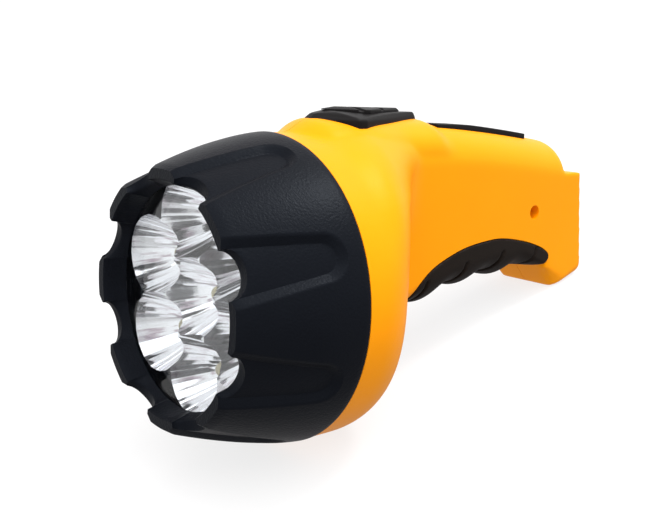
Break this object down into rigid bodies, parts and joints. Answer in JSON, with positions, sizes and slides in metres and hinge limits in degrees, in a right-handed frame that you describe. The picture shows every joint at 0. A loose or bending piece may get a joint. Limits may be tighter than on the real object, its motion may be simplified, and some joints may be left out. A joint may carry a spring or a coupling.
{
  "type": "flashlight",
  "caption": "Pistol-shaped hand flashlight with a fluted black bezel, faceted reflector, slide switch on the crest, grooved finger grip and a mains plug that slides out of the tail.",
  "frame": {"origin": "under the middle of the flashlight, on the surface that it stands on", "axes": "the lens faces -X and about 17 degrees upwards, the tail is towards +X, the switch is on the top towards +Z, and the plug's thumb tab is on the +Y side"},
  "size_m": [0.1994, 0.1006, 0.1014],
  "materials": {
    "yellow_plastic": "satin moulded ABS",
    "black_plastic": "fine-textured moulded ABS",
    "black_gloss": "smooth moulded",
    "grip_rubber": "soft-touch, fine texture",
    "clear_lens": "clear polished acrylic",
    "bright_reflector": "vacuum-metallised facets",
    "white_board": "white solder mask",
    "tan_board": "phenolic board",
    "led_epoxy": "clear epoxy with a pale yellow core",
    "red_lens": "translucent red",
    "steel": "zinc plated",
    "brass": "polished",
    "grey_case": "moulded case",
    "orange_film": "dipped film capacitor",
    "lead_red": "insulation",
    "lead_black": "insulation"
  },
  "bodies": {
    "housing": {"bezel": "black_plastic", "lens": "clear_lens", "reflector": "bright_reflector", "led_board": "white_board", "led_1": "led_epoxy", "led_2": "led_epoxy", "led_3": "led_epoxy", "led_4": "led_epoxy", "led_5": "led_epoxy", "led_6": "led_epoxy", "led_7": "led_epoxy", "reflector_screw_1": "steel", "reflector_screw_2": "steel", "reflector_screw_3": "steel", "led_resistor": "tan_board", "body_left": "yellow_plastic", "body_right": "yellow_plastic", "top_strip": "black_plastic", "finger_grip": "grip_rubber", "shell_screw_1": "steel", "shell_screw_2": "steel", "shell_screw_3": "steel", "shell_screw_4": "steel", "shell_screw_5": "steel", "switch_plate": "black_gloss", "switch_body": "grey_case", "battery": "grey_case", "battery_terminal_plus": "brass", "battery_terminal_minus": "brass", "charger_board": "tan_board", "capacitor": "orange_film", "rectifier": "black_plastic", "charger_screw_1": "steel", "charger_screw_2": "steel", "charge_indicator": "red_lens", "plug_contact_left": "brass", "plug_contact_right": "brass", "lead_switch_led": "lead_red", "lead_battery_plus": "lead_red", "lead_battery_minus": "lead_black", "lead_charger_plus": "lead_red", "lead_charger_minus": "lead_black", "lead_mains_left": "lead_black", "lead_mains_right": "lead_black"},
    "switch": {"switch_knob": "black_gloss", "switch_lever": "black_plastic"},
    "plug": {"plug_carrier": "black_plastic", "plug_blade_left": "brass", "plug_blade_right": "brass"}
  },
  "joints": [
    {"name": "switch_slide", "type": "slide", "parent": "housing", "child": "switch", "axis": [0.9579, 0, -0.2872], "range_m": [-0.003, 0.003]},
    {"name": "plug_slide", "type": "slide", "parent": "housing", "child": "plug", "axis": [0.9579, 0, -0.2872], "range_m": [0, 0.017]}
  ]
}
